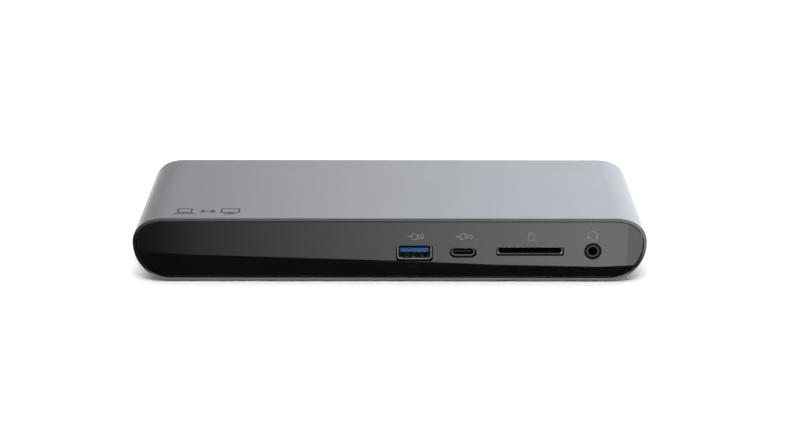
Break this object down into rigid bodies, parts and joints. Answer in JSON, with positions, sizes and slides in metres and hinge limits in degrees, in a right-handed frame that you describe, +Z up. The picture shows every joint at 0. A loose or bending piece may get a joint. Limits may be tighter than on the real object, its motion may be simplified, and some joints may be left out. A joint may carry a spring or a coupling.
{
  "type": "laptop docking station",
  "caption": "Low aluminium docking station with rounded sides and a gloss black front holding USB, memory card and headphone sockets; power, display and network sockets at the rear.",
  "frame": {"origin": "middle of the footprint, on the surface that the station stands on", "axes": "+X to the right seen from the front, +Y from the front panel to the rear panel, +Z up"},
  "size_m": [0.2, 0.08, 0.026],
  "materials": {
    "anodised_aluminium": "bead-blasted and anodised, satin",
    "spreader_aluminium": "plain extruded",
    "gloss_black": "mirror gloss",
    "black_plastic": "moulded, fine texture",
    "rubber": "matt",
    "steel": "plain sheet",
    "nickel": "nickel plated",
    "blue_plastic": "moulded",
    "circuit_board": "solder mask",
    "chip_black": "moulded, matt",
    "ferrite": "pressed powder",
    "thermal_pad": "soft silicone",
    "insulating_film": "film"
  },
  "bodies": {
    "case": {"audio_codec_chip": "chip_black", "audio_socket_body": "black_plastic", "audio_socket_ring": "steel", "board_screw_1": "steel", "board_screw_2": "steel", "board_screw_3": "steel", "board_screw_4": "steel", "card_ejector_spring": "steel", "card_reader_chip": "chip_black", "card_socket_base": "black_plastic", "card_socket_shell": "nickel", "case_screw_1": "steel", "case_screw_2": "steel", "case_screw_3": "steel", "case_screw_4": "steel", "chassis_tray": "steel", "display_chip": "chip_black", "display_socket_shell": "nickel", "display_socket_tongue": "black_plastic", "dock_controller_chip": "chip_black", "ethernet_socket_insert": "black_plastic", "ethernet_socket_shell": "nickel", "ethernet_transformer": "chip_black", "foot_pad": "rubber", "front_gasket": "rubber", "front_panel": "gloss_black", "heat_spreader": "spreader_aluminium", "insulator_sheet": "insulating_film", "main_board": "circuit_board", "power_capacitor_1": "nickel", "power_capacitor_2": "nickel", "power_inductor_1": "ferrite", "power_inductor_2": "ferrite", "power_socket_body": "black_plastic", "power_socket_pin": "nickel", "rear_gasket": "rubber", "rear_panel": "black_plastic", "sleeve": "anodised_aluminium", "thermal_pad": "thermal_pad", "usb_a_front_shell": "nickel", "usb_a_front_tongue": "blue_plastic", "usb_a_rear_1_shell": "nickel", "usb_a_rear_1_tongue": "blue_plastic", "usb_a_rear_2_shell": "nickel", "usb_a_rear_2_tongue": "blue_plastic", "usb_a_rear_3_shell": "nickel", "usb_a_rear_3_tongue": "blue_plastic", "usb_c_front_shell": "nickel", "usb_c_front_tongue": "black_plastic", "usb_c_rear_1_shell": "nickel", "usb_c_rear_1_tongue": "black_plastic", "usb_c_rear_2_shell": "nickel", "usb_c_rear_2_tongue": "black_plastic", "usb_hub_chip": "chip_black"},
    "card_ejector": {"card_ejector_slider": "black_plastic"}
  },
  "joints": [
    {"name": "card_ejector_slide", "type": "slide", "parent": "case", "child": "card_ejector", "axis": [0, 1, 0], "range_m": [0, 0.0045], "stiffness_N_per_m": 120, "springref_m": -0.003, "deforming": ["card_ejector_spring"]}
  ]
}
